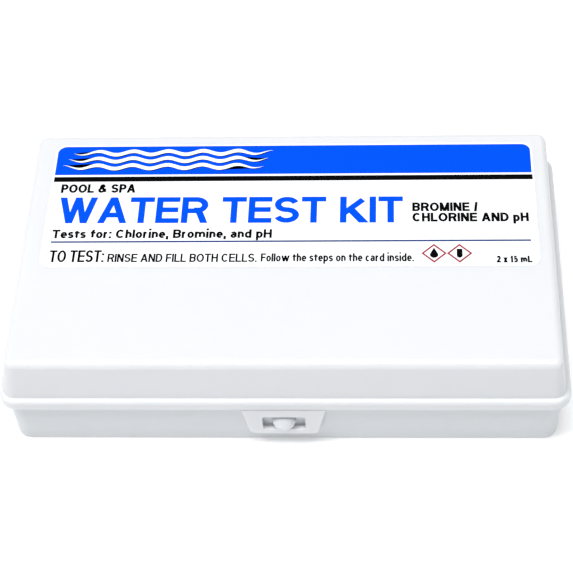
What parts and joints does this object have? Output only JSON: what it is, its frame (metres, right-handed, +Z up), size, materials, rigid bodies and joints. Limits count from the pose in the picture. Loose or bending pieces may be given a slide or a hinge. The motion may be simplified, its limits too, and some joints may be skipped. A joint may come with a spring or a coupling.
{
  "type": "water test kit",
  "caption": "Hinged plastic case with a snap latch, holding a colour comparator with capped cells and dropper bottles of reagent for testing pool or spa water.",
  "frame": {"origin": "centre of the case's footprint, on the surface it stands on", "axes": "+X along the case's width to its right, +Y towards the hinge at the back, +Z up"},
  "size_m": [0.176, 0.1124, 0.0367],
  "materials": {
    "case_plastic": "white moulded polystyrene, satin",
    "hinge_steel": "drawn wire",
    "front_label": "printed gloss label, blue band",
    "underside_label": "printed label",
    "instruction_card": "printed card",
    "clear_acrylic": "clear moulded",
    "scale_backing": "white sheet",
    "chlorine_scale": "tinted standards, pale to deep yellow",
    "ph_scale": "tinted standards, orange to magenta",
    "bottle_plastic": "natural polyethylene",
    "bottle_label": "printed wrap label",
    "tip_plastic": "natural polyethylene",
    "yellow_plastic": "moulded",
    "red_plastic": "moulded",
    "chlorine_liquid": "liquid",
    "ph_liquid": "liquid"
  },
  "bodies": {
    "base": {"base_shell": "case_plastic", "underside_label": "underside_label", "hinge_pins": "hinge_steel"},
    "lid": {"lid_shell": "case_plastic", "front_label": "front_label", "instruction_card": "instruction_card"},
    "latch": {"latch_tab": "case_plastic"},
    "comparator": {"comparator_block": "clear_acrylic", "color_card": "scale_backing", "chlorine_color_chips": "chlorine_scale", "ph_color_chips": "ph_scale"},
    "chlorine_cell_cap": {"chlorine_cell_cap": "yellow_plastic"},
    "chlorine_bottle": {"chlorine_bottle": "bottle_plastic", "chlorine_dropper_tip": "tip_plastic", "chlorine_bottle_label": "bottle_label", "chlorine_reagent": "chlorine_liquid"},
    "chlorine_bottle_cap": {"chlorine_bottle_cap": "yellow_plastic"},
    "ph_cell_cap": {"ph_cell_cap": "red_plastic"},
    "ph_bottle": {"ph_bottle": "bottle_plastic", "ph_dropper_tip": "tip_plastic", "ph_bottle_label": "bottle_label", "ph_reagent": "ph_liquid"},
    "ph_bottle_cap": {"ph_bottle_cap": "red_plastic"}
  },
  "joints": [
    {"name": "lid_hinge", "type": "hinge", "parent": "base", "child": "lid", "pos_m": [0, 0.0556, 0.01837], "axis": [-1, 0, 0], "range_deg": [0, 180]},
    {"name": "latch_flex", "type": "hinge", "parent": "lid", "child": "latch", "pos_m": [0, -0.0516, 0.01775], "axis": [-1, 0, 0], "range_deg": [0, 28], "stiffness_Nm_per_rad": 0.02},
    {"name": "comparator_lift", "type": "slide", "parent": "base", "child": "comparator", "axis": [0, 0, 1], "range_m": [0, 0.011]},
    {"name": "chlorine_cell_cap_pull", "type": "slide", "parent": "comparator", "child": "chlorine_cell_cap", "axis": [0, 1, 0], "range_m": [0, 0.01]},
    {"name": "chlorine_bottle_lift", "type": "slide", "parent": "base", "child": "chlorine_bottle", "axis": [0, 0, 1], "range_m": [0, 0.007]},
    {"name": "chlorine_bottle_cap_twist", "type": "hinge", "parent": "chlorine_bottle", "child": "chlorine_bottle_cap", "pos_m": [-0.063, 0.0142, 0.0149], "axis": [0, 1, 0], "range_deg": [0, 360]},
    {"name": "ph_cell_cap_pull", "type": "slide", "parent": "comparator", "child": "ph_cell_cap", "axis": [0, 1, 0], "range_m": [0, 0.01]},
    {"name": "ph_bottle_lift", "type": "slide", "parent": "base", "child": "ph_bottle", "axis": [0, 0, 1], "range_m": [0, 0.007]},
    {"name": "ph_bottle_cap_twist", "type": "hinge", "parent": "ph_bottle", "child": "ph_bottle_cap", "pos_m": [0.063, 0.0142, 0.0149], "axis": [0, 1, 0], "range_deg": [0, 360]}
  ]
}
